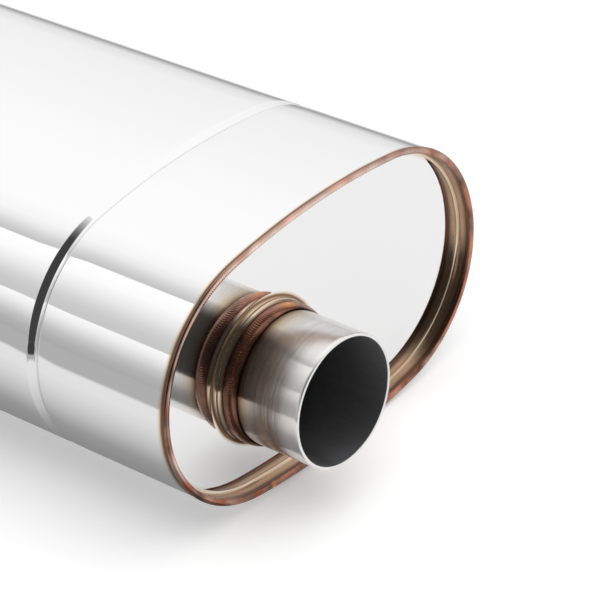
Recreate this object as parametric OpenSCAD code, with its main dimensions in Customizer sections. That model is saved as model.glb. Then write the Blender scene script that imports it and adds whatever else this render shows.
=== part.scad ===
// Oval exhaust silencer with one stub pipe at each end, lying on its broad side.
// Lengths are in millimetres. X runs along the body towards the outlet, Y runs across
// the oval and Z is up. The origin is under the middle of the body, on the floor.

/* [Casing] */
// Length of the casing sheet from edge to edge
casing_len = 420; // [340:10:600]
// Width across the oval
body_w = 216; // [200:2:240]
// Radius of the oval's two round ends
end_r = 62.5; // [58:0.5:63.5]
// Radius of the two shallow crowns between the ends, which sets the oval's height
crown_r = 360; // [320:5:500]
// Thickness of the casing sheet
casing_t = 1.2; // [0.8:0.1:1.6]
// Gap between the sheet's two long edges, which the seam weld fills
seam_gap = 0.8; // [0.4:0.1:1.5]
// Width of the seam weld's flat cap
seam_weld_w = 3; // [2:0.5:5]
// Height of the seam weld's cap above the sheet
seam_weld_h = 0.3; // [0.2:0.05:0.4]

/* [Rolled grooves] */
// Distance from the sheet's edge to the middle of each groove
groove_inset = 80; // [60:1:110]
// Width of a groove across its shoulders
groove_w = 9; // [6:0.5:12]
// Depth of a groove
groove_depth = 2; // [1:0.1:2.5]

/* [End caps] */
// Thickness of the pressed end caps
cap_t = 1.2; // [0.8:0.1:1.6]
// Depth of an end cap's face below the casing's edge
cap_recess = 7; // [6:0.5:14]
// Inside radius of the bend between an end cap's face and its flange
cap_bend_r = 2; // [1:0.25:3]
// Height of the collar drawn up round the pipe, above the cap's face
collar_h = 4.6; // [4:0.1:8]
// Outside radius of the collar's foot
collar_foot_r = 3; // [1:0.25:3.5]

/* [Rim welds] */
// Height of the rim weld's crest above the sheet's edge
rim_weld_h = 1.2; // [0.8:0.1:2]
// How far the rim weld stands out past the sheets on each side
rim_weld_proud = 0.4; // [0.3:0.05:0.8]

// Height of the rim weld's flat root
rim_root_h = 0.3; // [0.2:0.05:0.5]
// Width of the root that shows on each side of the weld's crown
rim_weld_toe = 0.15; // [0.1:0.05:0.3]

/* [Stub pipes] */
// Outside diameter of a stub's sized free end
pipe_od = 63.5; // [54:0.5:66]
// Extra diameter of the tube as drawn, where the free end was not sized down
raw_extra = 0.7; // [0.7:0.05:1.2]
// Wall of the stub pipes
pipe_t = 1.5; // [1:0.1:2.5]
// Distance of the pipe's axis from the oval's middle, towards -Y
pipe_offset = 36; // [28:1:44]
// Distance of the pipe's axis below the oval's middle
pipe_drop = 6.5; // [0:0.5:10]
// How far a stub's end stands out past the casing's edge
pipe_reach = 40; // [30:1:80]
// How far a stub runs on behind the end cap
pipe_tail = 28; // [20:1:34]
// Chamfer on the cut edges of a stub's free end
pipe_chamfer = 0.3; // [0.1:0.05:0.4]

/* [Pipe welds] */
// Width of the weld along the pipe
pipe_weld_w = 7.6; // [5:0.1:10]
// Height of the weld's crest above the tube
pipe_weld_h = 1.5; // [1:0.1:2]
// How much of the bead's rounded width the collar's edge cuts off
pipe_weld_lap = 2; // [1:0.25:3]

/* [Perforated core] */
// Wall of the perforated core
core_t = 1.5; // [1:0.1:2]
// Diameter of each hole in the core
perf_d = 7; // [4:0.25:8]
// Distance between rows of holes along the core
perf_pitch = 15; // [12:0.5:20]
// Number of holes round the core
perf_around = 14; // [8:1:16]
// Plain length of core between the stub's tail and the first row of holes
perf_clear = 6; // [3:1:20]
// Distance between an end of the core and the end cap behind it
core_setback = 6; // [5:0.5:10]
// Width and height of the weld at an end of the core
core_weld_w = 3; // [2:0.25:4]

/* [Baffles] */
// Thickness of a baffle
baffle_t = 1.2; // [0.8:0.1:1.6]
// Length of a baffle's flange, which the groove grips in the middle
baffle_flange = 22; // [20:1:30]
// Inside radius of the bend between a baffle and its flange
baffle_bend_r = 2; // [1:0.25:3]
// Height of the collar drawn up round the core
baffle_collar_h = 7; // [5:0.5:12]

/* [Packing] */
// Thickness of the steel wool wrapped round the core
wool_t = 5; // [3:0.5:8]

/* [Clearances] */
// Clearance between a pressed piece and what it slides in or over
slip_gap = 0.1; // [0.05:0.05:0.3]
// Clearance round the packing and the wool
pack_gap = 0.3; // [0.2:0.1:0.6]
// Clearance between the seam weld's cap and the sheet under it
cap_lift = 0.05; // [0.02:0.01:0.1]

/* [Hidden] */
$fn = 144;

// The oval is four arcs: two round ends and two shallow crowns that meet them smoothly
end_c = body_w / 2 - end_r;
crown_c = sqrt(pow(crown_r - end_r, 2) - end_c * end_c);
half_h = crown_r - crown_c;
crown_half_angle = atan2(end_c, crown_c);
reach = 2 * end_r;
lean = [reach * sin(crown_half_angle), reach * cos(crown_half_angle)];

// Places along X, for the outlet end
edge_x = casing_len / 2;
cap_face_x = edge_x - cap_recess;
cap_back_x = cap_face_x - cap_t;
groove_x = edge_x - groove_inset;
core_end_x = cap_back_x - core_setback;
pipe_end_x = edge_x + pipe_reach;
pipe_tail_x = cap_back_x - pipe_tail;
perf_end_x = pipe_tail_x - perf_clear;
collar_top_x = cap_face_x + collar_h;
pipe_weld_top_x = collar_top_x + pipe_weld_w;
baffle_top_x = groove_x + baffle_flange / 2;
baffle_face_x = groove_x - baffle_flange / 2;
baffle_back_x = baffle_face_x - baffle_t;

// Offsets from the casing's outside
cap_off = -casing_t - slip_gap;
lining_off = -casing_t - pack_gap;
inner_lining_off = cap_off - baffle_t - groove_depth - pack_gap;

// Radii round the pipe's axis
pipe_r = pipe_od / 2;
raw_r = pipe_r + raw_extra / 2;
bore_r = pipe_r - pipe_t;
collar_r = raw_r + slip_gap;
core_bore_r = raw_r + slip_gap;
core_r = core_bore_r + core_t;
baffle_collar_r = core_r + slip_gap;
wool_bore_r = core_r + slip_gap;
wool_r = wool_bore_r + wool_t;
packing_bore_r = wool_r + slip_gap;

// Points along one groove's outline, on each side of its middle
groove_steps = 8;
overshoot = 1;

// Turns a shape drawn in X and Y, and standing along Z, so that it lies along the body
module along_body() {
    translate([0, 0, half_h + rim_weld_proud]) rotate([90, 0, 90]) children();
}

// Moves a shape from the oval's middle to the pipe's axis
module at_pipe() {
    translate([-pipe_offset, -pipe_drop, 0]) children();
}

// Mirrors a piece of the outlet end to the inlet end
module at_inlet() {
    mirror([1, 0, 0]) children();
}

// Moves a shape along Y in two parts, a rounded one and a small rest, so that no digit is lost
module shift_y(y) {
    whole = round(1000 * y) / 1000;
    translate([0, whole]) translate([0, y - whole]) children();
}

// Wedge of the plane that one crown takes, its sides on the lines where the arcs meet
module crown_wedge() {
    polygon([[-end_c, 0], [end_c, 0], [end_c + lean.x, lean.y], [-end_c - lean.x, lean.y]]);
}

// Wedge of the plane that one round end takes
module end_wedge() {
    polygon([[end_c, 0], [end_c + lean.x, -lean.y], [end_c + 2 * reach, -lean.y],
             [end_c + 2 * reach, lean.y], [end_c + lean.x, lean.y]]);
}

// Sweeps a profile round the oval: its X is the offset outwards, its Y the place along the body
module oval_sweep() {
    for (turn = [0, 180]) rotate(turn) {
        intersection() {
            shift_y(-crown_c) rotate_extrude() translate([crown_r, 0]) children();
            linear_extrude(2 * casing_len, center = true) crown_wedge();
        }
        intersection() {
            translate([end_c, 0]) rotate_extrude() translate([end_r, 0]) children();
            linear_extrude(2 * casing_len, center = true) end_wedge();
        }
    }
}

// Turns a drawing round the oval into one filled body: its X is the offset outwards, its Y the place
// along the body. The round ends run on under the crowns, so that all four parts share material.
module oval_body() {
    for (turn = [0, 180]) rotate(turn) {
        intersection() {
            shift_y(-crown_c) rotate_extrude() right_half() translate([crown_r, 0]) children();
            linear_extrude(2 * casing_len, center = true) crown_wedge();
        }
        translate([end_c, 0]) rotate_extrude() right_half() translate([end_r, 0]) children();
    }
}

// Keeps the part of a drawing that lies right of the axis it is turned about
module right_half() {
    intersection() {
        children();
        translate([0, -casing_len]) square([2 * crown_r, 2 * casing_len]);
    }
}

// Sweeps a profile over a short arc at the middle of the round end, where the seam runs
module seam_sweep(width) {
    arc = 2 * asin(width / 2 / end_r);
    translate([end_c, 0]) rotate(-arc / 2)
        rotate_extrude(angle = arc) translate([end_r, 0]) children();
}

// The oval's area, offset outwards by off
module oval_area(off) {
    for (turn = [0, 180]) rotate(turn) {
        intersection() {
            shift_y(-crown_c) circle(crown_r + off);
            crown_wedge();
        }
        intersection() {
            translate([end_c, 0]) circle(end_r + off);
            end_wedge();
        }
    }
}

// Offset of a rolled sheet at place x: a smooth dip at each groove
function dip(x, middle) = abs(x - middle) >= groove_w / 2 ? 0
    : -groove_depth * (1 + cos(360 * (x - middle) / groove_w)) / 2;
function roll(x) = dip(x, groove_x) + dip(x, -groove_x);

// Places from x0 to x1 where the rolled sheet's outline needs a point
function stations(x0, x1) = concat([x0], [
    for (middle = [-groove_x, groove_x], i = [-groove_steps : groove_steps])
        let (x = middle + i * groove_w / 2 / groove_steps) if (x > x0 && x < x1) x], [x1]);

// Outline of a rolled sheet whose outside lies at offset off
function sheet(off, t, x0, x1) = let (s = stations(x0, x1), n = len(s)) concat(
    [for (x = s) [off + roll(x), x]],
    [for (i = [n - 1 : -1 : 0]) [off - t + roll(s[i]), s[i]]]);

// Area inside a wall whose lower end is turned in with a bend of radius r down to place x0
module inside_bent_wall(off, r, x0, x1) {
    translate([-crown_r, x0 + r]) square([crown_r + off, x1 - x0 - r]);
    translate([-crown_r, x0]) square([crown_r + off - r, r]);
    translate([off - r, x0 + r]) intersection() {
        circle(r);
        translate([0, -r]) square(r);
    }
}

// Area inside a collar of radius r, whose foot of radius foot_r runs out at place x0, with a root to root_x
module inside_collar(r, foot_r, x0, x1, root_x) {
    translate([0, x0 + foot_r]) square([r, x1 - x0 - foot_r]);
    translate([0, root_x]) square([r + foot_r, x0 - root_x]);
    difference() {
        translate([0, x0]) square([r + foot_r, foot_r]);
        translate([r + foot_r, x0 + foot_r]) circle(foot_r);
    }
}

// Quarter of a bend whose inside radius is r, turning from a face to a wall above and outside it
module bend(r, t) {
    difference() {
        intersection() {
            circle(r + t);
            translate([0, -r - t]) square(r + t);
        }
        circle(r);
    }
}

// Pressed oval plate whose flange follows the rolled grooves, with a collar drawn up round the pipe's axis
module pressed_plate(off, t, face_x, flange_x, bend_r, hole_r, collar_x, foot_r) {
    oval_sweep() {
        polygon(sheet(off, t, face_x + bend_r, flange_x));
        translate([off - t - bend_r, face_x + bend_r]) bend(bend_r, t);
    }
    translate([0, 0, face_x - t]) linear_extrude(t) difference() {
        oval_area(off - t - bend_r);
        at_pipe() circle(hole_r + t + foot_r);
    }
    at_pipe() rotate_extrude() {
        translate([hole_r, face_x + foot_r]) square([t, collar_x - face_x - foot_r]);
        translate([hole_r + t + foot_r, face_x + foot_r]) mirror([1, 0]) bend(foot_r, t);
    }
}

// Tube of one thickness between two places along the body
module sleeve(r_in, r_out, x0, x1) {
    at_pipe() rotate_extrude() translate([r_in, x0]) square([r_out - r_in, x1 - x0]);
}

// Low rounded cap of width w and height h, its flat side on the X axis
module bead(w, h) {
    r = (w * w / 4 + h * h) / (2 * h);
    intersection() {
        translate([0, h - r]) circle(r);
        translate([-w / 2, 0]) square([w, h]);
    }
}

module casing() {
    color("gainsboro") along_body() difference() {
        oval_sweep() polygon(sheet(0, casing_t, -edge_x, edge_x));
        seam_sweep(seam_gap)
            polygon(sheet(overshoot, casing_t + 2 * overshoot, -edge_x - overshoot, edge_x + overshoot));
    }
}

module casing_seam_weld() {
    color("silver") along_body() {
        seam_sweep(seam_gap) polygon(sheet(seam_weld_h, seam_weld_h + casing_t, -edge_x, edge_x));
        seam_sweep(seam_weld_w) polygon(sheet(seam_weld_h, seam_weld_h - cap_lift, -edge_x, edge_x));
    }
}

module end_cap() {
    color("gainsboro") along_body() difference() {
        union() {
            difference() {
                oval_body() inside_bent_wall(cap_off, cap_bend_r + cap_t, cap_back_x, edge_x);
                oval_body() inside_bent_wall(cap_off - cap_t, cap_bend_r, cap_face_x, edge_x + overshoot);
            }
            at_pipe() rotate_extrude()
                inside_collar(collar_r + cap_t, collar_foot_r, cap_face_x, collar_top_x,
                              cap_face_x - cap_t / 2);
        }
        at_pipe() rotate_extrude()
            inside_collar(collar_r, collar_foot_r + cap_t, cap_back_x, collar_top_x + overshoot,
                          cap_back_x - overshoot);
    }
}

// Section of a rim weld: a flat root with a rounded crown on it
module rim_section(w) {
    translate([-w / 2, 0]) square([w, rim_root_h]);
    translate([0, rim_root_h]) bead(w - 2 * rim_weld_toe, rim_weld_h - rim_root_h);
}

module rim_weld() {
    joint_w = casing_t + slip_gap + cap_t;
    weld_w = joint_w + 2 * rim_weld_proud;
    color("rosybrown") along_body() difference() {
        oval_body() translate([-joint_w / 2, edge_x]) {
            rim_section(weld_w);
            translate([-crown_r, 0]) square([crown_r, rim_weld_h]);
        }
        oval_body() translate([-joint_w / 2, edge_x]) difference() {
            translate([-crown_r, -overshoot]) square([crown_r, rim_weld_h + 2 * overshoot]);
            rim_section(weld_w);
        }
    }
}

module stub_pipe() {
    color("silver") along_body() at_pipe() rotate_extrude() polygon([
        [bore_r, pipe_tail_x], [raw_r, pipe_tail_x],
        [raw_r, pipe_weld_top_x - raw_extra], [pipe_r, pipe_weld_top_x],
        [pipe_r, pipe_end_x - pipe_chamfer], [pipe_r - pipe_chamfer, pipe_end_x],
        [bore_r + pipe_chamfer, pipe_end_x], [bore_r, pipe_end_x - pipe_chamfer]]);
}

module pipe_weld() {
    foot_r = raw_r + slip_gap;
    full_w = pipe_weld_w + pipe_weld_lap;
    color("sienna") along_body() at_pipe() rotate_extrude() intersection() {
        translate([foot_r, pipe_weld_top_x - full_w / 2]) rotate(-90) bead(full_w, pipe_weld_h);
        translate([foot_r, collar_top_x]) square([pipe_weld_h, pipe_weld_w]);
    }
}

module perforated_core() {
    rows = floor(2 * perf_end_x / perf_pitch);
    color("darkgray") along_body() difference() {
        sleeve(core_bore_r, core_r, -core_end_x, core_end_x);
        at_pipe() for (row = [0 : rows], hole = [0 : perf_around - 1])
            translate([0, 0, (row - rows / 2) * perf_pitch])
                rotate((hole + (row % 2) / 2) * 360 / perf_around)
                    translate([core_bore_r - overshoot, 0, 0]) rotate([0, 90, 0])
                        cylinder(d = perf_d, h = core_t + 2 * overshoot);
    }
}

module core_weld() {
    color("sienna") along_body() at_pipe() rotate_extrude()
        translate([core_bore_r + core_weld_w / 2, core_end_x]) bead(core_weld_w, core_weld_w / 2);
}

module baffle() {
    color("darkgray") along_body()
        pressed_plate(cap_off, baffle_t, baffle_face_x, baffle_top_x, baffle_bend_r, baffle_collar_r,
                      baffle_face_x + baffle_collar_h, baffle_bend_r);
}

// Steel wool wrapped round the core between two places
module steel_wool(x0, x1) {
    color("dimgray") along_body() sleeve(wool_bore_r, wool_r, x0, x1);
}

module end_steel_wool() {
    steel_wool(baffle_face_x + baffle_collar_h + pack_gap, core_end_x);
}

module middle_steel_wool() {
    steel_wool(-baffle_back_x + pack_gap, baffle_back_x - pack_gap);
}

// Block of fibre that fills the oval between two places
module fibre(off, x0, x1) {
    translate([0, 0, x0]) linear_extrude(x1 - x0) difference() {
        oval_area(off);
        at_pipe() circle(packing_bore_r);
    }
}

module end_packing() {
    color("khaki") along_body() {
        fibre(lining_off, baffle_top_x + pack_gap, cap_back_x - pack_gap);
        fibre(inner_lining_off, baffle_face_x + baffle_collar_h + pack_gap, baffle_top_x + pack_gap);
    }
}

module middle_packing() {
    color("khaki") along_body()
        fibre(lining_off, -baffle_back_x + pack_gap, baffle_back_x - pack_gap);
}

casing();
casing_seam_weld();
end_cap();  // outlet_end_cap
at_inlet() end_cap();  // inlet_end_cap
rim_weld();  // outlet_rim_weld
at_inlet() rim_weld();  // inlet_rim_weld
stub_pipe();  // outlet_pipe
at_inlet() stub_pipe();  // inlet_pipe
pipe_weld();  // outlet_pipe_weld
at_inlet() pipe_weld();  // inlet_pipe_weld
perforated_core();
core_weld();  // outlet_core_weld
at_inlet() core_weld();  // inlet_core_weld
baffle();  // outlet_baffle
at_inlet() baffle();  // inlet_baffle
end_steel_wool();  // outlet_steel_wool
middle_steel_wool();
at_inlet() end_steel_wool();  // inlet_steel_wool
end_packing();  // outlet_packing
middle_packing();
at_inlet() end_packing();  // inlet_packing
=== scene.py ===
"""Oval stainless exhaust silencer: the looks of its sheet, tube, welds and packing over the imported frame."""

import logging
import math
from dataclasses import dataclass, field
from enum import Enum
from typing import Callable

import bmesh
import bpy
from mathutils import Matrix, Vector, noise


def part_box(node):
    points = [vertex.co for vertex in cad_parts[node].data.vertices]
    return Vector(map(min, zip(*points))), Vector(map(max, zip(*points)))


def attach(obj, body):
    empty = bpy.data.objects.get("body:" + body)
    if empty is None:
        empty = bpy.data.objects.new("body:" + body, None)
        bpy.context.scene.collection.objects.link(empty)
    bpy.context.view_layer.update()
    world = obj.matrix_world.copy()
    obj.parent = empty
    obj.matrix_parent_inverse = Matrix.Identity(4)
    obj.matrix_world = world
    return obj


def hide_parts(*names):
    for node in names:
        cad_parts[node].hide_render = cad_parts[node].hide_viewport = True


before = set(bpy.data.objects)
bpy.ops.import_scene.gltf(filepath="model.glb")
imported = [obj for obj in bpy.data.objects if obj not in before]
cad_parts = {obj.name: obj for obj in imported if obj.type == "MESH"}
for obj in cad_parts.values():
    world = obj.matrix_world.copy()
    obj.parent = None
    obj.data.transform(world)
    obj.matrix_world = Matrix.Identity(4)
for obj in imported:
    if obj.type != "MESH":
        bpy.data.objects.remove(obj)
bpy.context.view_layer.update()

LOG = logging.getLogger("silencer")
MM = 0.001
RIM_HEAT = "rim_mm"
SEAM_HEAT = "seam_mm"
TUBE_HEAT = "tube_mm"
# Share of the painted highlight on a weld's ripple crests, carried by the weld's vertices
HIGHLIGHT_SHARE = "ripple"
# Share of the orange spot: the last pool on the edge welds, a painted highlight on the tube welds
POOL_AND_GLINT = "spot"

# Edge of the casing along X, thickness of its sheet and of the caps', and bore of the caps' collars
EDGE_X = 210 * MM
SHEET_T = 1.2 * MM
COLLAR_R = 32.2 * MM

# Settings of a node that mixes colours, and of one that lays a tint over them
MIXED = {"data_type": "RGBA"}
TINTED = {"data_type": "RGBA", "blend_type": "MULTIPLY"}

Outline = list[tuple[float, float]]
Levels = tuple[tuple[float, float], ...]
Stops = tuple[tuple[float, str], ...]


class End(Enum):
    """The two ends of the body, with the side of X that each lies on."""

    OUTLET = 1
    INLET = -1

    def node(self, part: str) -> str:
        """Name of the CAD node of a part at this end."""
        return f"{self.name.lower()}_{part}"


class Slot(Enum):
    """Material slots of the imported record."""

    POLISHED = "polished_steel"
    SATIN = "satin_steel"
    WELD = "weld_bead"
    PLAIN = "plain_steel"
    WOOL = "steel_wool"
    FIBRE = "glass_fibre"


def linear(code: str, alpha: float = 1.0) -> tuple[float, float, float, float]:
    """Turns an sRGB hex colour into linear light.

    Args:
        code: Colour written as #rrggbb.
        alpha: Fourth value of the result.

    Returns:
        Linear red, green and blue, then alpha.
    """
    parts = [int(code[i : i + 2], 16) / 255 for i in (1, 3, 5)]
    red, green, blue = [c / 12.92 if c <= 0.04045 else ((c + 0.055) / 1.055) ** 2.4 for c in parts]
    return (red, green, blue, alpha)


# Materials


class Nodes:
    """A node tree, written one node at a time."""

    def __init__(self, tree: bpy.types.NodeTree) -> None:
        """Takes the tree that nodes go into."""
        self.tree = tree

    def add(self, kind: str, settings: dict | None = None, **sockets: object) -> bpy.types.Node:
        """Adds a node, sets it and joins it up.

        Args:
            kind: Node type.
            settings: Properties of the node to set.
            sockets: Inputs by name, or as i0, i1 by place: a value, another node's output, or a
                node, whose first output is meant.

        Returns:
            The new node.
        """
        made = self.tree.nodes.new(kind)
        for key, value in (settings or {}).items():
            setattr(made, key, value)
        self.join(made, **sockets)
        return made

    def join(self, made: bpy.types.Node, **sockets: object) -> None:
        """Links or sets inputs of a node.

        Args:
            made: The node.
            sockets: Inputs and what they take, written as for add.
        """
        for key, value in sockets.items():
            place = int(key[1:]) if key[0] == "i" and key[1:].isdigit() else key.replace("_", " ")
            source = value.outputs[0] if isinstance(value, bpy.types.Node) else value
            if isinstance(source, bpy.types.NodeSocket):
                self.tree.links.new(source, made.inputs[place])
            else:
                made.inputs[place].default_value = source

    def seen(self) -> bpy.types.NodeSocket:
        """One for rays from the camera and in gloss or glass, and nothing for the light that falls."""
        path = self.add("ShaderNodeLightPath").outputs
        shine = self.add("ShaderNodeMath", {"operation": "MAXIMUM"}, i0=path["Is Glossy Ray"],
                         i1=path["Is Transmission Ray"])
        either = self.add("ShaderNodeMath", {"operation": "MAXIMUM"}, i0=path["Is Camera Ray"], i1=shine)
        return either.outputs[0]


class Recipe(Nodes):
    """Node tree of one material, with its shader and output already in place."""

    def __init__(self, name: str, kind: str = "ShaderNodeBsdfPrincipled") -> None:
        """Starts an empty material.

        Args:
            name: Name of the material.
            kind: Node type of its shader.
        """
        self.material = bpy.data.materials.new(name)
        self.material.use_nodes = True
        super().__init__(self.material.node_tree)
        self.tree.nodes.clear()
        self.shader = self.add(kind)
        self.add("ShaderNodeOutputMaterial", Surface=self.shader)

    def grain(self, lumps: tuple[float, float, float], detail: float = 2.0) -> bpy.types.NodeSocket:
        """Noise in the piece's own coordinates.

        Args:
            lumps: Number of lumps in a metre along X, Y and Z.
            detail: How many finer layers lie over it.

        Returns:
            The noise, from 0 to 1.
        """
        where = self.add("ShaderNodeTexCoord").outputs["Object"]
        scaled = self.add("ShaderNodeMapping", Vector=where, Scale=lumps)
        return self.add("ShaderNodeTexNoise", Vector=scaled, Scale=1.0, Detail=detail).outputs[0]

    def colours_along(self, distance: object, stops: Stops) -> bpy.types.NodeSocket:
        """Colour that changes with a distance.

        Args:
            distance: Socket or node that gives the distance.
            stops: Distance and sRGB hex colour of each stop, from the nearest to the farthest.

        Returns:
            The colour.
        """
        length = stops[-1][0]
        share = self.add("ShaderNodeMath", {"operation": "DIVIDE"}, i0=distance, i1=length)
        made = self.add("ShaderNodeValToRGB", i0=share)
        while len(made.color_ramp.elements) < len(stops):
            made.color_ramp.elements.new(1.0)
        for element, (place, code) in zip(made.color_ramp.elements, stops):
            element.position = place / length
            element.color = linear(code)
        return made.outputs[0]


@dataclass(frozen=True)
class HeatBand:
    """Oxide colours that a weld leaves beside it, by distance in mm along the surface."""

    attribute: str
    stops: Stops

    def tint(self, recipe: Recipe) -> bpy.types.NodeSocket:
        """Tint along the band, waved a little as a hand-held torch leaves it."""
        # The torch wanders by a tenth over some 30 mm
        wave = recipe.add("ShaderNodeMapRange", i0=recipe.grain((33, 33, 33), 1.0), i1=0.3, i2=0.7,
                          i3=0.9, i4=1.1)
        carried = recipe.add("ShaderNodeAttribute", {"attribute_name": self.attribute}).outputs["Fac"]
        reach = recipe.add("ShaderNodeMath", {"operation": "MULTIPLY"}, i0=carried, i1=wave)
        return recipe.colours_along(reach, self.stops)


EDGE_BAND = HeatBand(RIM_HEAT, (
    (0.0, "#a08a72"), (0.3, "#6e5c4c"), (1.5, "#7a6654"), (2.0, "#d0b296"), (2.6, "#f6e6d6"),
    (3.6, "#ffffff"),
))
WALL_BAND = HeatBand(RIM_HEAT, (
    (0.0, "#b07a62"), (0.7, "#7c5a48"), (1.8, "#705644"), (2.8, "#a6866c"), (4.2, "#c8a68a"),
    (6.0, "#c6a68c"), (7.5, "#d8bda2"), (8.5, "#ecdcc8"), (9.5, "#f8f0e8"), (10.4, "#ffffff"),
))
# Oxide beside the tube weld; the dark stop 5.8 mm out lies in the collar's foot fillet and is painted shade of
# the fillet over the oxide
COLLAR_BAND = HeatBand(TUBE_HEAT, (
    (0.0, "#94684c"), (0.6, "#c8a486"), (1.4, "#f6e8d6"), (3.2, "#f0dfc8"), (4.6, "#c4a484"),
    (5.8, "#866650"), (6.6, "#a88a6c"), (7.3, "#ead8c6"), (8.4, "#ffffff"),
))
TUBE_BAND = HeatBand(TUBE_HEAT, (
    (0.0, "#4e362a"), (0.8, "#7e5e4a"), (2.0, "#b2967c"), (3.5, "#d6c2ac"), (6.0, "#ece0d2"),
    (9.0, "#f8f2ec"), (13.0, "#ffffff"),
))
SEAM_BAND = HeatBand(SEAM_HEAT, ((0.0, "#a98260"), (1.2, "#dcc6a6"), (2.6, "#f4ecdf"), (4.5, "#ffffff")))


@dataclass(frozen=True)
class PolishedSheet:
    """Mirror-polished 304 stainless sheet: reads as the room it stands in, with straw edges at the welds."""

    name: str
    bands: tuple[HeatBand, ...]
    colour: str = "#e6e6e6"
    roughness: float = 0.04
    oxide: float = 0.3

    def build(self) -> bpy.types.Material:
        """Makes the material.

        Returns:
            The material.
        """
        recipe = Recipe(self.name)
        tint: object = linear("#ffffff")
        for band in self.bands:
            tint = recipe.add("ShaderNodeMix", TINTED, i0=1.0, i6=tint, i7=band.tint(recipe)).outputs[2]
        colour = recipe.add("ShaderNodeMix", TINTED, i0=1.0, i6=tint, i7=linear(self.colour)).outputs[2]
        # The buffing leaves soft patches some 25 mm across, a little duller than the rest
        haze = recipe.add("ShaderNodeMapRange", i0=recipe.grain((40, 40, 40)), i1=0.35, i2=0.65,
                          i3=self.roughness * 0.7, i4=self.roughness * 1.5)
        # Where the oxide is dark it is thick, and dulls the sheet
        paleness = recipe.add("ShaderNodeRGBToBW", Color=tint)
        film = recipe.add("ShaderNodeMapRange", i0=paleness, i1=0.1, i2=0.9, i3=self.oxide, i4=0.0)
        dulled = recipe.add("ShaderNodeMath", {"operation": "ADD"}, i0=haze, i1=film)
        # Rolled sheet is never quite flat: waves 60 mm long and a few hundredths of a millimetre deep
        waves = recipe.add("ShaderNodeBump", Height=recipe.grain((16, 30, 30), 0.0), Distance=0.03 * MM)
        recipe.join(recipe.shader, Base_Color=colour, Roughness=dulled, Normal=waves, Metallic=1.0)
        return recipe.material


@dataclass(frozen=True)
class SatinTube:
    """Stainless tube, satin from a belt run round it: crisp stripes along it that smear lengthwise."""

    name: str = "stainless tube, satin, belt-brushed"
    colour: str = "#e9e8e6"
    roughness: float = 0.155
    spread: float = 0.89

    def build(self) -> bpy.types.Material:
        """Makes the material.

        Returns:
            The material.
        """
        recipe = Recipe(self.name)
        # Scratches 0.35 mm apart along the tube and some 25 mm long round it
        scratches = recipe.grain((2900, 40, 40), 3.0)
        shade = recipe.colours_along(scratches, ((0.0, "#eeeeee"), (0.35, "#eeeeee"), (0.7, "#ffffff")))
        brushed = recipe.add("ShaderNodeMix", TINTED, i0=1.0, i6=linear(self.colour), i7=shade).outputs[2]
        heated = recipe.add("ShaderNodeMix", TINTED, i0=1.0, i6=brushed, i7=TUBE_BAND.tint(recipe)).outputs[2]
        rough = recipe.add("ShaderNodeMapRange", i0=scratches, i1=0.3, i2=0.7, i3=self.roughness * 0.8,
                           i4=self.roughness * 1.3)
        scored = recipe.add("ShaderNodeBump", Height=scratches, Distance=0.0005 * MM)
        # Scratches that run round the tube throw the light along it
        along = recipe.add("ShaderNodeCombineXYZ", X=1.0)
        recipe.join(recipe.shader, Base_Color=heated, Roughness=rough, Normal=scored, Metallic=1.0,
                    Anisotropic=self.spread, Tangent=along)
        return recipe.material


@dataclass(frozen=True)
class WeldMetal:
    """TIG weld bead in stainless, left as welded: copper crests under a painted highlight, dark purple toes,
    silky shine.
    """

    name: str
    dark: str = "#5a382a"
    copper: str = "#a4644e"
    # Colour of the painted highlight on the ripple crests
    crest_highlight: str = "#ffe4d6"
    roughness: float = 0.14
    # Orange of the last pool on the edge welds, and of a painted highlight near the top of the tube welds
    pool: str = "#f0a05c"

    def build(self) -> bpy.types.Material:
        """Makes the material.

        Returns:
            The material.
        """
        recipe = Recipe(self.name)
        # Share of the painted highlight, which each weld's vertices carry
        crest = recipe.add("ShaderNodeAttribute", {"attribute_name": HIGHLIGHT_SHARE}).outputs["Fac"]
        spot = recipe.add("ShaderNodeAttribute", {"attribute_name": POOL_AND_GLINT}).outputs["Fac"]
        # Oxide changes from copper to brown in patches about 12 mm long
        patch = recipe.add("ShaderNodeMapRange", i0=recipe.grain((85, 85, 85), 3.0), i1=0.38, i2=0.62)
        patched = recipe.add("ShaderNodeMix", MIXED, i0=patch, i6=linear(self.dark),
                             i7=linear(self.copper)).outputs[2]
        crest_highlighted = recipe.add("ShaderNodeMix", MIXED, i0=crest, i6=patched, i7=linear(self.crest_highlight)).outputs[2]
        # The last pool before the torch is lifted shows as an orange spot on the edge weld; on the tube weld
        # the same orange is a painted highlight near the bead's top
        colour = recipe.add("ShaderNodeMix", MIXED, i0=spot, i6=crest_highlighted, i7=linear(self.pool)).outputs[2]
        rough = recipe.add("ShaderNodeMapRange", i0=recipe.grain((900, 900, 900)), i1=0.3, i2=0.7,
                           i3=self.roughness * 0.7, i4=self.roughness * 1.4)
        # Slag film and pits about half a millimetre across
        pits = recipe.add("ShaderNodeBump", Height=recipe.grain((1800, 1800, 1800), 3.0), Distance=0.02 * MM,
                          Strength=0.5)
        recipe.join(recipe.shader, Base_Color=colour, Roughness=rough, Normal=pits, Metallic=1.0)
        return recipe.material


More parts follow.
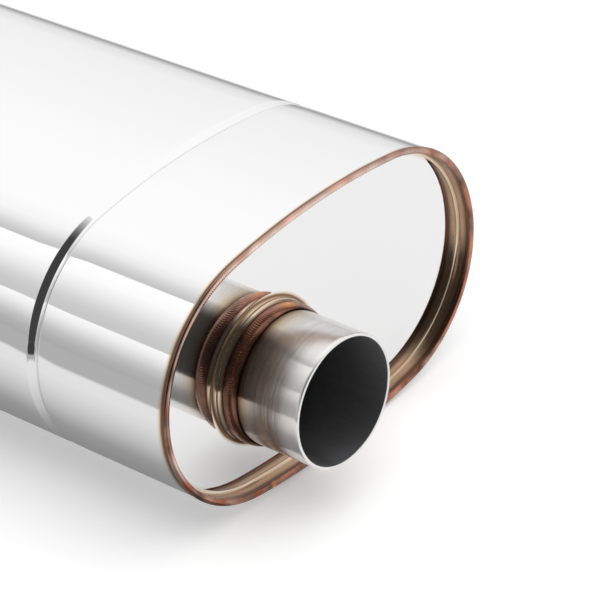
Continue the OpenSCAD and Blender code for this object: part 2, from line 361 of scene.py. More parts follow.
@dataclass(frozen=True)
class MillSteel:
    """Stainless as rolled, inside the body: dull grey with faint rolling lines."""

    name: str
    dark: str = "#8f8e8c"
    light: str = "#a7a5a2"
    roughness: float = 0.42

    def build(self) -> bpy.types.Material:
        """Makes the material.

        Returns:
            The material.
        """
        recipe = Recipe(self.name)
        # Rolling lines 0.6 mm apart, along the body
        lines = recipe.grain((40, 1600, 1600), 3.0)
        colour = recipe.add("ShaderNodeMix", MIXED, i0=lines, i6=linear(self.dark),
                            i7=linear(self.light)).outputs[2]
        soot = recipe.add("ShaderNodeMapRange", i0=recipe.grain((60, 60, 60), 3.0), i1=0.3, i2=0.7,
                          i3=self.roughness * 0.8, i4=self.roughness * 1.3)
        rolled = recipe.add("ShaderNodeBump", Height=lines, Distance=0.005 * MM)
        recipe.join(recipe.shader, Base_Color=colour, Roughness=soot, Normal=rolled, Metallic=1.0)
        return recipe.material


@dataclass(frozen=True)
class Strands:
    """Matted strands: stainless wool or glass fibre, seen as a dense mat of fine lines."""

    name: str
    dark: str
    light: str
    metallic: float
    roughness: float

    def build(self) -> bpy.types.Material:
        """Makes the material.

        Returns:
            The material.
        """
        recipe = Recipe(self.name)
        # Real strands are 0.05 mm across and are drawn at 0.5 mm so that they show
        mat = recipe.add("ShaderNodeMath", {"operation": "MAXIMUM"}, i0=recipe.grain((2000, 300, 300), 4.0),
                         i1=recipe.grain((300, 2000, 1500), 4.0))
        colour = recipe.colours_along(mat, ((0.0, self.dark), (0.42, self.dark), (0.66, self.light)))
        tangle = recipe.add("ShaderNodeBump", Height=mat, Distance=0.5 * MM)
        recipe.join(recipe.shader, Base_Color=colour, Normal=tangle, Metallic=self.metallic,
                    Roughness=self.roughness)
        return recipe.material


# Shapes


@dataclass(frozen=True)
class Oval:
    """Section of the body: two round ends and two shallow crowns that meet them smoothly."""

    half_w: float = 108 * MM
    half_h: float = 66 * MM
    end_r: float = 62.5 * MM
    axis_z: float = 66.4 * MM

    @property
    def end_c(self) -> float:
        """Distance of each round end's centre from the middle."""
        return self.half_w - self.end_r

    @property
    def crown_r(self) -> float:
        """Radius of the crowns."""
        square = self.half_w**2 - 2 * self.half_w * self.end_r + self.half_h**2
        return square / (2 * (self.half_h - self.end_r))

    @property
    def crown_c(self) -> float:
        """Distance of each crown's centre from the middle."""
        return self.crown_r - self.half_h

    @property
    def crown_turn(self) -> float:
        """Angle that each crown spans."""
        return 2 * math.atan2(self.end_c, self.crown_c)

    def normal_angle(self, spot: Vector) -> float:
        """Angle of the section's outward normal at a point near it, from +Y through +Z."""
        y, z = spot.y, spot.z - self.axis_z
        lean = math.atan2(abs(y), abs(z) + self.crown_c)
        if lean < self.crown_turn / 2:
            angle = math.atan2(math.copysign(abs(z) + self.crown_c, z), y)
        else:
            angle = math.atan2(z, y - math.copysign(self.end_c, y))
        return angle % math.tau

    def run(self, spot: Vector) -> float:
        """Length round the section from its +Y side to a point near it."""
        angle = self.normal_angle(spot)
        bends = ((self.end_r, (math.pi - self.crown_turn) / 2), (self.crown_r, self.crown_turn),
                 (self.end_r, math.pi - self.crown_turn), (self.crown_r, self.crown_turn),
                 (self.end_r, (math.pi - self.crown_turn) / 2))
        length = 0.0
        for radius, turn in bends:
            part = min(angle, turn)
            length += radius * part
            angle -= part
        return length

    def outset(self, spot: Vector) -> float:
        """Distance of a point outside the section, less than nothing inside it."""
        y, z = abs(spot.y), abs(spot.z - self.axis_z)
        if math.atan2(y, z + self.crown_c) < self.crown_turn / 2:
            return math.hypot(y, z + self.crown_c) - self.crown_r
        return math.hypot(y - self.end_c, z) - self.end_r

    def sweep(self, mesh: bmesh.types.BMesh, outline: Outline, closed: bool,
              step: float = 2 * MM) -> list[bmesh.types.BMVert]:
        """Sweeps an outline round the section.

        Args:
            mesh: Mesh that takes the result.
            outline: Place along X and distance outwards of each point.
            closed: Whether the last point joins the first.
            step: Rough length of one step round the section.

        Returns:
            The vertices of the sweep.
        """
        start = -(math.pi - self.crown_turn) / 2
        line = [mesh.verts.new((x, self.end_c + (self.end_r + out) * math.cos(start),
                                self.axis_z + (self.end_r + out) * math.sin(start))) for x, out in outline]
        ends = line[1:] + line[:1] if closed else line[1:]
        loop: list = line + [mesh.edges.new(pair) for pair in zip(line, ends)]
        before = set(mesh.verts) - set(line)
        for centre_y, centre_z, radius, turn in (
            (self.end_c, 0.0, self.end_r, math.pi - self.crown_turn),
            (0.0, -self.crown_c, self.crown_r, self.crown_turn),
            (-self.end_c, 0.0, self.end_r, math.pi - self.crown_turn),
            (0.0, self.crown_c, self.crown_r, self.crown_turn),
        ):
            made = bmesh.ops.spin(mesh, geom=loop, cent=(0, centre_y, self.axis_z + centre_z), axis=(1, 0, 0),
                                  angle=turn, steps=max(8, round(radius * turn / step)))
            loop = made["geom_last"]
        swept = [v for v in mesh.verts if v not in before]
        bmesh.ops.remove_doubles(mesh, verts=swept, dist=1e-6)
        return [v for v in mesh.verts if v not in before]


OVAL = Oval()


@dataclass(frozen=True)
class TubeAxis:
    """Axis of the stubs and the core, along X."""

    y: float = -36 * MM
    z: float = 59.9 * MM

    def radius(self, spot: Vector) -> float:
        """Distance of a point from the axis."""
        return math.hypot(spot.y - self.y, spot.z - self.z)

    def run(self, spot: Vector, radius: float) -> float:
        """Length round the axis, at a radius, from its -Z side."""
        return radius * (math.atan2(spot.y - self.y, self.z - spot.z) + math.pi)

    def turn(self, mesh: bmesh.types.BMesh, outline: Outline, closed: bool,
             steps: int = 180) -> list[bmesh.types.BMVert]:
        """Turns an outline round the axis.

        Args:
            mesh: Mesh that takes the result.
            outline: Place along X and radius of each point.
            closed: Whether the last point joins the first.
            steps: Number of steps of the full turn.

        Returns:
            The vertices of the turned shape.
        """
        before = set(mesh.verts)
        line = [mesh.verts.new((x, self.y, self.z - r)) for x, r in outline]
        ends = line[1:] + line[:1] if closed else line[1:]
        loop = line + [mesh.edges.new(pair) for pair in zip(line, ends)]
        bmesh.ops.spin(mesh, geom=loop, cent=(0, self.y, self.z), axis=(1, 0, 0), angle=math.tau, steps=steps,
                       use_merge=True)
        turned = [v for v in mesh.verts if v not in before]
        bmesh.ops.remove_doubles(mesh, verts=turned, dist=1e-7)
        return [v for v in mesh.verts if v not in before]


AXIS = TubeAxis()


def refine(mesh: bmesh.types.BMesh, cuts: int, run: Callable[[Vector], float]) -> None:
    """Cuts the steps of a swept bead finer along its run, so that ripples fit in.

    Args:
        mesh: Mesh of the bead.
        cuts: Number of cuts in each step.
        run: Gives the length along the bead at a place.
    """
    along = [e for e in mesh.edges if abs(e.verts[0].co.x - e.verts[1].co.x) < 1e-7
             and abs(run(e.verts[0].co) - run(e.verts[1].co)) > 0.2 * MM]
    bmesh.ops.subdivide_edges(mesh, edges=along, cuts=cuts, use_grid_fill=True)


@dataclass(frozen=True)
class Groove:
    """Rolled groove that holds a baffle: straight walls with a round bend at the top and at the foot."""

    middle: float = 130 * MM
    width: float = 7.8 * MM
    depth: float = 2 * MM
    floor: float = 0.4 * MM
    bend: float = 0.8 * MM
    steps: int = 39

    def dip(self, x: float) -> float:
        """Distance outwards of the sheet at a place along X: nothing, or less in a groove."""
        wall = (self.width - self.floor) / 2
        climb = min(wall, max(0.0, abs(abs(x) - self.middle) - self.floor / 2))
        if climb < self.bend:
            risen = climb**2 / (2 * self.bend)
        elif climb > wall - self.bend:
            risen = wall - self.bend - (wall - climb) ** 2 / (2 * self.bend)
        else:
            risen = climb - self.bend / 2
        return self.depth * (risen / (wall - self.bend) - 1)

    def stations(self, start: float, stop: float, plain: float = 12 * MM) -> list[float]:
        """Places along X where the sheet's outline needs a point.

        Args:
            start: First place.
            stop: Last place.
            plain: Longest step on plain sheet.

        Returns:
            The places in order.
        """
        marks = [start, stop]
        for side in (-1, 1):
            marks += [side * self.middle + self.width * (n / self.steps - 0.5) for n in range(self.steps + 1)]
        marks = sorted(m for m in marks if start <= m <= stop)
        filled = [marks[0]]
        for mark in marks[1:]:
            gap = mark - filled[-1]
            count = max(1, math.ceil(gap / plain))
            filled += [filled[-1] + gap * n / count for n in range(1, count + 1)] if gap > 1e-9 else []
        return filled


GROOVE = Groove()


def arc(centre: tuple[float, float], radius: float, start: float, stop: float, steps: int) -> Outline:
    """Points on an arc of an outline.

    Args:
        centre: Middle of the arc.
        radius: Radius of the arc.
        start: First angle, in degrees.
        stop: Last angle, in degrees.
        steps: Number of steps.

    Returns:
        The points in order, both ends included.
    """
    angles = [math.radians(start + (stop - start) * n / steps) for n in range(steps + 1)]
    return [(centre[0] + radius * math.cos(a), centre[1] + radius * math.sin(a)) for a in angles]


@dataclass
class Piece:
    """One finished piece: its mesh, modelled for the outlet end, and the CAD node it stands for."""

    name: str
    node: str
    slot: Slot
    material: bpy.types.Material
    mesh: bmesh.types.BMesh = field(default_factory=bmesh.new)
    sharp: float = 35.0
    end: End = End.OUTLET

    def carry(self, attribute: str, value: Callable[[Vector], float]) -> None:
        """Stores a value of each vertex under a name that the material reads.

        Args:
            attribute: Name of the value.
            value: Gives the value at a place.
        """
        layer = self.mesh.verts.layers.float.get(attribute) or self.mesh.verts.layers.float.new(attribute)
        for vert in self.mesh.verts:
            vert[layer] = value(vert.co)

    def place(self) -> bpy.types.Object:
        """Mirrors the mesh if it is for the inlet end, and makes it an object in its CAD node's place.

        Returns:
            The object.
        """
        if self.end is End.INLET:
            bmesh.ops.transform(self.mesh, matrix=Matrix.Scale(-1, 4, (1, 0, 0)), verts=self.mesh.verts)
        bmesh.ops.recalc_face_normals(self.mesh, faces=self.mesh.faces)
        limit = math.radians(self.sharp)
        for face in self.mesh.faces:
            face.smooth = True
        for edge in self.mesh.edges:
            edge.smooth = not (edge.is_manifold and edge.calc_face_angle(0.0) > limit)
        data = bpy.data.meshes.new(self.name)
        self.mesh.to_mesh(data)
        self.mesh.free()
        data.materials.append(self.material)
        piece = bpy.data.objects.new(self.name, data)
        bpy.context.scene.collection.objects.link(piece)
        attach(piece, "root")
        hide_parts(self.node)
        LOG.info("%s: %d faces, in place of %s", self.name, len(data.polygons), self.node)
        return piece


# Sub-assemblies


@dataclass
class Casing:
    """Oval casing rolled from one sheet, with a groove over each baffle and a butt-welded seam."""

    heat_steps: tuple[float, ...] = (0.5 * MM, 1.2 * MM, 2.2 * MM, 3.5 * MM, 5.5 * MM)
    seam_w: float = 3 * MM
    seam_h: float = 0.3 * MM
    seam_lift: float = 0.05 * MM
    seam_step: float = 0.25 * MM
    seam_strips: int = 10
    ripple_pitch: float = 1.4 * MM
    ripple_bow: float = 0.7
    ripple_share: float = 0.3
    heat_pace: float = 1.1
    heat_lean: tuple[float, float] = (0.35, 0.4)

    def build(self) -> None:
        """Builds the sheet and its seam weld."""
        self.sheet()
        self.seam()

    def sheet(self) -> None:
        """Builds the casing sheet."""
        finish = PolishedSheet("stainless sheet, mirror-polished, casing", (EDGE_BAND, SEAM_BAND))
        piece = Piece("casing_sheet", "casing", Slot.POLISHED, finish.build())
        places = GROOVE.stations(-EDGE_X, EDGE_X)
        places = sorted(places + [end.value * (EDGE_X - step) for end in End for step in self.heat_steps])
        outer = [(x, GROOVE.dip(x)) for x in places]
        inner = [(x, out - SHEET_T) for x, out in reversed(outer)]
        OVAL.sweep(piece.mesh, outer + inner, closed=True)
        piece.carry(RIM_HEAT, lambda co: (EDGE_X - abs(co.x)) / MM * self.cooled(co))
        piece.carry(SEAM_HEAT, lambda co: self.from_seam(co) / MM)
        piece.place()

    def cooled(self, spot: Vector) -> float:
        """How narrow the heat band runs: less so at the front and underside, where the torch dwelt."""
        high, far = (spot.z - OVAL.axis_z) / OVAL.half_h, spot.y / OVAL.half_w
        return self.heat_pace + self.heat_lean[1] * high + self.heat_lean[0] * far

    def from_seam(self, spot: Vector) -> float:
        """Distance round the oval from the seam weld's toe."""
        angle = OVAL.normal_angle(spot)
        return max(0.0, OVAL.end_r * min(angle, math.tau - angle) - self.seam_w / 2)

    def seam(self) -> None:
        """Builds the weld that closes the sheet along its +Y side, with its ripples."""
        finish = WeldMetal("stainless seam weld, as welded", "#b9a994", "#d9cfc0", "#f2eee8", 0.15)
        piece = Piece("casing_seam_bead", "casing_seam_weld", Slot.POLISHED, finish.build(), sharp=60.0)
        rows = round(2 * EDGE_X / self.seam_step)
        layer = piece.mesh.verts.layers.float.new(HIGHLIGHT_SHARE)
        bmesh.ops.create_grid(piece.mesh, x_segments=rows, y_segments=self.seam_strips, size=1.0)
        for vert in piece.mesh.verts:
            x, across = vert.co.x * EDGE_X, vert.co.y
            crest = ripple(x / self.ripple_pitch, across, self.ripple_bow)
            dome = 1 - across * across
            share = dome * (1 - self.ripple_share + self.ripple_share * crest)
            height = self.seam_lift + (self.seam_h - self.seam_lift) * share
            angle = across * self.seam_w / 2 / OVAL.end_r
            out = OVAL.end_r + GROOVE.dip(x) + height
            vert.co = Vector((x, OVAL.end_c + out * math.cos(angle), OVAL.axis_z + out * math.sin(angle)))
            # Painted highlight: the light crest colour on the ripple crests, most along the bead's middle
            vert[layer] = crest * dome
        piece.place()


def ripple(phase: float, across: float, bow: float) -> float:
    """Height of a weld's ripples, each a crescent frozen behind the pool.

    Args:
        phase: Length along the weld, in ripples.
        across: Place across the weld, from -1 to 1.
        bow: How far a ripple's middle lags behind its ends, in ripples.

    Returns:
        Height from 0 to 1.
    """
    # The hand strays by up to a third of a ripple, over some four ripples
    hand = 0.35 * noise.noise(Vector((phase * 0.23, across, 4.0)))
    step = (phase + hand - bow * (1 - across * across)) % 1.0
    # Each ripple climbs slowly and drops off in its last quarter
    rise = 0.72
    share = step / rise if step < rise else (1 - step) / (1 - rise)
    return share * share * (3 - 2 * share)


@dataclass
class EndCap:
    """Pressed end cap: flat mirror face, flange inside the casing, collar drawn up round the stub."""

    end: End
    recess: float = 7 * MM
    slip: float = 0.1 * MM
    bend_r: float = 2 * MM
    flange_step: float = 0.5 * MM
    flange_rings: int = 10
    bend_steps: int = 8
    round_step: float = 1.6 * MM
    face_rings: tuple[float, ...] = (1 * MM, 2.5 * MM, 4.5 * MM, 7 * MM)
    collar_h: float = 4.6 * MM
    collar_rings: tuple[float, ...] = (1.5 * MM, 0.6 * MM)
    foot_r: float = 3 * MM
    foot_steps: int = 12
    lip: float = 0.4 * MM
    lip_steps: int = 4

    @property
    def face_x(self) -> float:
        """Place of the cap's face along X."""
        return EDGE_X - self.recess

    @property
    def flange_out(self) -> float:
        """Distance of the flange's outer side from the section, less than nothing."""
        return -SHEET_T - self.slip

    @property
    def collar_top(self) -> float:
        """Place of the collar's edge along X."""
        return self.face_x + self.collar_h

    def build(self, material: bpy.types.Material) -> None:
        """Builds the cap.

        Args:
            material: Its finish.
        """
        piece = Piece(self.end.node("cap_pressing"), self.end.node("end_cap"), Slot.POLISHED, material,
                      end=self.end)
        rim, hole = self.flange(piece.mesh), self.collar(piece.mesh)
        for x in (self.face_x, self.face_x - SHEET_T):
            self.join(piece.mesh, x, rim, hole)
        piece.carry(RIM_HEAT, self.from_rim)
        piece.carry(TUBE_HEAT, self.from_tube)
        made = piece.place()
        made.modifiers.new("flat face", "WEIGHTED_NORMAL").keep_sharp = True

    def flange(self, mesh: bmesh.types.BMesh) -> float:
        """Sweeps the flange, its bend and the first rings of the face round the oval.

        Args:
            mesh: Mesh of the cap.

        Returns:
            Distance outwards of the last ring, less than nothing.
        """
        inner = self.flange_out - SHEET_T
        bend_c = (self.face_x + self.bend_r, inner - self.bend_r)
        rings = [bend_c[1] - step for step in self.face_rings]
        front = [(EDGE_X - n * self.flange_step, inner) for n in range(self.flange_rings)]
        front += arc(bend_c, self.bend_r, 90, 180, self.bend_steps) + [(self.face_x, out) for out in rings]
        back = [(self.face_x - SHEET_T, out) for out in reversed(rings)]
        back += arc(bend_c, self.bend_r + SHEET_T, 180, 90, self.bend_steps) + [(EDGE_X, self.flange_out)]
        OVAL.sweep(mesh, back + front, closed=False, step=self.round_step)
        return rings[-1]

    def collar(self, mesh: bmesh.types.BMesh) -> float:
        """Turns the drawn collar, its foot and the rings round it.

        Args:
            mesh: Mesh of the cap.

        Returns:
            Radius of the outermost ring.
        """
        outside = COLLAR_R + SHEET_T
        foot_c = (self.face_x + self.foot_r, outside + self.foot_r)
        rings = [foot_c[1] + step for step in self.collar_rings]
        front = [(self.face_x, radius) for radius in rings]
        front += arc(foot_c, self.foot_r, 180, 270, self.foot_steps)
        front += arc((self.collar_top - self.lip, outside - self.lip), self.lip, 90, 0, self.lip_steps)
        back = [(self.collar_top, COLLAR_R)]
        back += arc(foot_c, self.foot_r + SHEET_T, 270, 180, self.foot_steps)
        back += [(self.face_x - SHEET_T, radius) for radius in reversed(rings)]
        AXIS.turn(mesh, front + back, closed=False)
        return rings[0]

    def join(self, mesh: bmesh.types.BMesh, x: float, rim: float, hole: float) -> None:
        """Closes the flat face between its rim ring and the collar's ring.

        Args:
            mesh: Mesh of the cap.
            x: Place of the face along X.
            rim: Distance outwards of the rim ring, less than nothing.
            hole: Radius of the collar's ring.
        """
        loops = []
        for edge in mesh.edges:
            if len(edge.link_faces) != 1 or any(abs(v.co.x - x) > 1e-6 for v in edge.verts):
                continue
            near = all(abs(OVAL.outset(v.co) - rim) < 1e-5 for v in edge.verts)
            round_hole = all(abs(AXIS.radius(v.co) - hole) < 1e-5 for v in edge.verts)
            if near or round_hole:
                loops.append(edge)
        bmesh.ops.bridge_loops(mesh, edges=loops)

    def from_rim(self, spot: Vector) -> float:
        """Distance along the surface from the rim weld, in mm."""
        inward = max(0.0, self.flange_out - SHEET_T - OVAL.outset(spot))
        return (EDGE_X - spot.x + inward) / MM

    def from_tube(self, spot: Vector) -> float:
        """Distance along the surface from the tube weld, in mm."""
        return (self.collar_top - spot.x + max(0.0, AXIS.radius(spot) - COLLAR_R - SHEET_T)) / MM


@dataclass
class RimWeld:
    """Weld along the flush edges of the casing and an end cap, with fine ripples."""

    end: End
    width: float = 3.3 * MM
    proud: float = 0.4 * MM
    root: float = 0.3 * MM
    height: float = 1.2 * MM
    crown_steps: int = 5
    bluntness: float = 0.6
    cuts: int = 9
    ripple_pitch: float = 1.05 * MM
    ripple_bow: float = 0.8
    ripple_share: float = 0.18
    sway_length: float = 9 * MM
    sway_share: float = 0.07
    toe_shade: float = 0.7
    spot_run: float = 385 * MM
    spot_reach: float = 2.2 * MM
    spot_edge: float = -0.3
    spot_rest: float = 0.3
    # Painted glints: white specks on the bead some 303 mm round from the +Y side
    glint_run: float = 303 * MM
    glint_reach: float = 8 * MM
    glint_shine: float = 0.9
    # Painted highlight along the bead's upper part, then the painted highlight's swaying and plain levels
    upper_run: float = 165 * MM
    upper_reach: float = 125 * MM
    upper_highlight: float = 0.6
    sway_shine: float = 0.45
    plain_shine: float = 0.2

    @property
    def middle(self) -> float:
        """Distance of the bead's middle outside the section."""
        return self.proud - self.width / 2

    def build(self, material: bpy.types.Material) -> None:
        """Builds the bead.

        Args:
            material: Its finish.
        """
        piece = Piece(self.end.node("rim_bead"), self.end.node("rim_weld"), Slot.WELD, material, sharp=70.0,
                      end=self.end)
        OVAL.sweep(piece.mesh, self.outline(), closed=True)
        refine(piece.mesh, self.cuts, OVAL.run)
        layers = piece.mesh.verts.layers.float
        shine, spot = layers.new(HIGHLIGHT_SHARE), layers.new(POOL_AND_GLINT)
        for vert in piece.mesh.verts:
            run = OVAL.run(vert.co)
            across = max(-1.0, min(1.0, (OVAL.outset(vert.co) - self.middle) / (self.width / 2)))
            crest = ripple(run / self.ripple_pitch, across, self.ripple_bow)
            sway = noise.noise(Vector((run / self.sway_length, 0.0, 1.0)))
            near = max(0.0, 1 - abs(run - self.spot_run) / self.spot_reach)
            vert[spot] = near * (1 if across > self.spot_edge else self.spot_rest)
            # Painted highlight on the crests, fading towards the toes
            vert[shine] = self.shine(run, crest, sway) * (1 - self.toe_shade * across * across)
            if vert.co.x > EDGE_X + 1e-6:
                rise = vert.co.x - EDGE_X - self.root
                rise *= 1 - self.ripple_share + self.ripple_share * crest
                vert.co.x = EDGE_X + self.root + rise * (1 - self.sway_share + self.sway_share * sway)
        piece.place()

    def outline(self) -> Outline:
        """Section of the bead: a blunt dome over the two edges."""
        steps, half = self.crown_steps, self.width / 2
        crown = []
        for n in range(-steps, steps + 1):
            rise = self.root + (self.height - self.root) * (1 - (n / steps) ** 2) ** self.bluntness
            crown.append((EDGE_X + rise, self.middle + half * n / steps))
        return [(EDGE_X, self.middle - half)] + crown + [(EDGE_X, self.middle + half)]

    def shine(self, run: float, crest: float, sway: float) -> float:
        """How much of the painted highlight the bead takes: most on the crests, along the upper edge and at
        the painted glints.

        Args:
            run: Length round the section.
            crest: Height of the ripple there, from 0 to 1.
            sway: Slow change along the weld, from -1 to 1.

        Returns:
            Share of the painted highlight colour, in the middle of the bead.
        """
        glints = self.glint_shine * math.exp(-(((run - self.glint_run) / self.glint_reach) ** 2))
        upper = max(0.0, math.cos(math.pi / 2 * min(1.0, abs(run - self.upper_run) / self.upper_reach)))
        # Along the upper edge the hollows between the crests take the painted highlight too
        body = 0.1 + 0.5 * upper
        shine = self.plain_shine + self.sway_shine * sway + self.upper_highlight * upper + glints
        return (body + (1 - body) * crest) * shine


@dataclass
class StubPipe:
    """Stub of satin tube, sized and cut square at its free end."""

    end: End
    tail_x: float = 173.8 * MM
    weld_x: float = 215.2 * MM
    mouth_x: float = 250 * MM
    raw_r: float = 32.1 * MM
    sized_r: float = 31.75 * MM
    bore_r: float = 30.25 * MM
    chamfer: float = 0.3 * MM
    heat_step: float = 1.5 * MM
    heat_rings: int = 22
    round_steps: int = 240

    def build(self, outside: bpy.types.Material, inside: bpy.types.Material) -> None:
        """Builds the tube.

        Args:
            outside: Finish of the outside and the cut edge.
            inside: Finish of the bore.
        """
        piece = Piece(self.end.node("stub_tube"), self.end.node("pipe"), Slot.SATIN, outside, sharp=25.0,
                      end=self.end)
        # The mouth's edges are broken in two steps, the first a third of the way
        step, c, third = self.raw_r - self.sized_r, self.chamfer, 0.3 * self.chamfer
        outer = [(self.tail_x, self.raw_r), (self.weld_x - 2 * step, self.raw_r), (self.weld_x, self.sized_r)]
        outer += [(self.weld_x + n * self.heat_step, self.sized_r) for n in range(1, self.heat_rings + 1)]
        edge = [(self.mouth_x - c, self.sized_r), (self.mouth_x - third, self.sized_r - third),
                (self.mouth_x, self.sized_r - c), (self.mouth_x, self.bore_r + c),
                (self.mouth_x - third, self.bore_r + third), (self.mouth_x - c, self.bore_r)]
        AXIS.turn(piece.mesh, outer + edge + [(self.tail_x, self.bore_r)], closed=True,
                  steps=self.round_steps)
        piece.carry(TUBE_HEAT, lambda co: max(0.0, co.x - self.weld_x) / MM)
        for face in piece.mesh.faces:
            reach = max(AXIS.radius(v.co) for v in face.verts)
            face.material_index = 1 if reach < self.bore_r + 1e-6 else 0
        piece.place().data.materials.append(inside)


@dataclass
class PipeWeld:
    """Weld between an end cap's collar and the stub, with close crescent ripples."""

    end: End
    start_x: float = 207.6 * MM
    width: float = 7.6 * MM
    lap: float = 2 * MM
    height: float = 1.5 * MM
    crown_steps: int = 14
    round_steps: int = 200
    cuts: int = 4
    ripple_pitch: float = 1.15 * MM
    ripple_bow: float = 2.2
    ripple_share: float = 0.1
    sway_length: float = 12 * MM
    # Levels of the painted highlight on the ripple crests
    plain_shine: float = 0.8
    sway_shine: float = 0.4
    # Painted orange highlight near the top of the bead
    orange_glint_turn: float = math.radians(340)
    spot_reach: float = 7 * MM

    def build(self, material: bpy.types.Material) -> None:
        """Builds the bead.

        Args:
            material: Its finish.
        """
        piece = Piece(self.end.node("tube_bead"), self.end.node("pipe_weld"), Slot.WELD, material, sharp=70.0,
                      end=self.end)
        AXIS.turn(piece.mesh, self.outline(), closed=True, steps=self.round_steps)
        refine(piece.mesh, self.cuts, self.run)
        layers = piece.mesh.verts.layers.float
        shine, spot = layers.new(HIGHLIGHT_SHARE), layers.new(POOL_AND_GLINT)
        for vert in piece.mesh.verts:
            run, reach = self.run(vert.co), AXIS.radius(vert.co)
            across = 2 * (vert.co.x - self.start_x) / self.width - 1
            crest = ripple(run / self.ripple_pitch, across, self.ripple_bow)
            sway = noise.noise(Vector((run / self.sway_length, across, 2.0)))
            # Painted highlights: the crest colour on the ripple crests, most along the bead's middle, and an
            # orange one near the bead's top
            past = abs(run - COLLAR_R * self.orange_glint_turn) / self.spot_reach
            bright = self.plain_shine + self.sway_shine * sway
            vert[shine] = crest * max(0.0, 1 - across * across) * bright
            vert[spot] = max(0.0, 1 - past) * max(0.0, 1 - abs(across))
            if reach > COLLAR_R + 1e-5:
                grown = (reach - COLLAR_R) * (1 - self.ripple_share + self.ripple_share * crest)
                scale = (COLLAR_R + grown) / reach
                vert.co.y = AXIS.y + (vert.co.y - AXIS.y) * scale
                vert.co.z = AXIS.z + (vert.co.z - AXIS.z) * scale
        piece.place()

    def run(self, spot: Vector) -> float:
        """Length round the bead at a place."""
        return AXIS.run(spot, COLLAR_R)

    def outline(self) -> Outline:
        """Section of the bead: an arc that starts on the collar's edge and runs out on the stub."""
        full = self.width + self.lap
        arc_r = (full * full / 4 + self.height**2) / (2 * self.height)
        middle = self.start_x + self.width - full / 2
        crown = []
        for n in range(self.crown_steps):
            x = self.start_x + self.width * n / self.crown_steps
            crown.append((x, COLLAR_R + self.height - arc_r + math.sqrt(arc_r**2 - (x - middle) ** 2)))
        return [(self.start_x, COLLAR_R)] + crown + [(self.start_x + self.width, COLLAR_R)]


@dataclass
class Packing:
    """Steel wool round the core and glass fibre that fills the rest of the body."""

    wool_in: float = 33.8 * MM
    wool_out: float = 38.8 * MM
    fibre_in: float = 38.9 * MM
    lining: float = -1.5 * MM
    flange_room: float = 3.5 * MM
    flange_end_x: float = 141.5 * MM
    pile: float = 0.25 * MM
    tufts: float = 180.0
    wool_row: float = 4 * MM
    wool_steps: int = 120
    fibre_row: float = 8 * MM
    fibre_steps: int = 90
    fibre_step: float = 6 * MM

    def build(self) -> None:
        """Builds the three wraps and the three blocks, each in its CAD node's box."""
        wool = Strands("stainless wool, matted", "#2c2b2a", "#b4b2ae", 0.9, 0.45).build()
        fibre = Strands("glass fibre, needled mat", "#8d8468", "#f0e9d2", 0.0, 0.8).build()
        for place in ("outlet", "middle", "inlet"):
            self.wrap(f"{place}_steel_wool", wool)
            self.block(f"{place}_packing", fibre)

    def wrap(self, node: str, material: bpy.types.Material) -> None:
        """Builds one wrap of wool.

        Args:
            node: CAD node that it stands for.
            material: Its finish.
        """
        low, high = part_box(node)
        piece = Piece(f"{node}_wrap", node, Slot.WOOL, material)
        rows = max(2, round((high.x - low.x) / self.wool_row))
        places = [low.x + (high.x - low.x) * n / rows for n in range(rows + 1)]
        outline = [(x, self.wool_out) for x in places] + [(x, self.wool_in) for x in reversed(places)]
        AXIS.turn(piece.mesh, outline, closed=True, steps=self.wool_steps)
        self.ruffle(piece.mesh, low.x, high.x)
        piece.place()

    def block(self, node: str, material: bpy.types.Material) -> None:
        """Builds one block of fibre.

        Args:
            node: CAD node that it stands for.
            material: Its finish.
        """
        low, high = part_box(node)
        piece = Piece(f"{node}_mat", node, Slot.FIBRE, material)
        rows = max(2, round((high.x - low.x) / self.fibre_row))
        places = [low.x + (high.x - low.x) * n / rows for n in range(rows + 1)]
        outside = [(x, self.depth(node, x)) for x in places]
        OVAL.sweep(piece.mesh, outside, closed=False, step=self.fibre_step)
        AXIS.turn(piece.mesh, [(x, self.fibre_in) for x in places], closed=False, steps=self.fibre_steps)
        for x in (low.x, high.x):
            open_edges = [edge for edge in piece.mesh.edges if len(edge.link_faces) == 1]
            rims = [edge for edge in open_edges if all(abs(vert.co.x - x) < 1e-6 for vert in edge.verts)]
            bmesh.ops.bridge_loops(piece.mesh, edges=rims)
        self.ruffle(piece.mesh, low.x, high.x)
        piece.place()

    def depth(self, node: str, x: float) -> float:
        """Distance outwards of a block's side, which steps in behind a baffle's flange."""
        beside = not node.startswith("middle") and abs(x) < self.flange_end_x
        return self.lining - self.flange_room if beside else self.lining

    def ruffle(self, mesh: bmesh.types.BMesh, low: float, high: float) -> None:
        """Ruffles a mat's skin, always inwards, but not at its two faces.

        Args:
            mesh: Mesh of the mat.
            low: Its lower face along X.
            high: Its upper face along X.
        """
        bmesh.ops.recalc_face_normals(mesh, faces=mesh.faces)
        mesh.normal_update()
        for vert in mesh.verts:
            if low + 1e-4 < vert.co.x < high - 1e-4:
                vert.co -= vert.normal * self.pile * (0.5 + 0.5 * noise.noise(vert.co * self.tufts))


@dataclass
class Internals:
    """Perforated core and baffles, whose CAD shapes stay and get their finish."""

    def build(self) -> None:
        """Dresses the CAD nodes that stay."""
        core = MillSteel("perforated stainless tube, as rolled", "#6f6e6c", "#858381", 0.45).build()
        plate = MillSteel("stainless plate, as pressed").build()
        bead = WeldMetal("stainless fillet weld, inside", "#5a4a40", "#8f7360", "#b89c84").build()
        self.dress("perforated_core", core)
        for end in End:
            self.dress(end.node("baffle"), plate)
            self.dress(end.node("core_weld"), bead)

    def dress(self, node: str, material: bpy.types.Material) -> None:
        """Gives a CAD node its finish.

        Args:
            node: Name of the node.
            material: Its finish.
        """
        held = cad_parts[node]
        held.data.materials.clear()
        held.data.materials.append(material)
        LOG.info("%s keeps its CAD shape", node)


# Studio


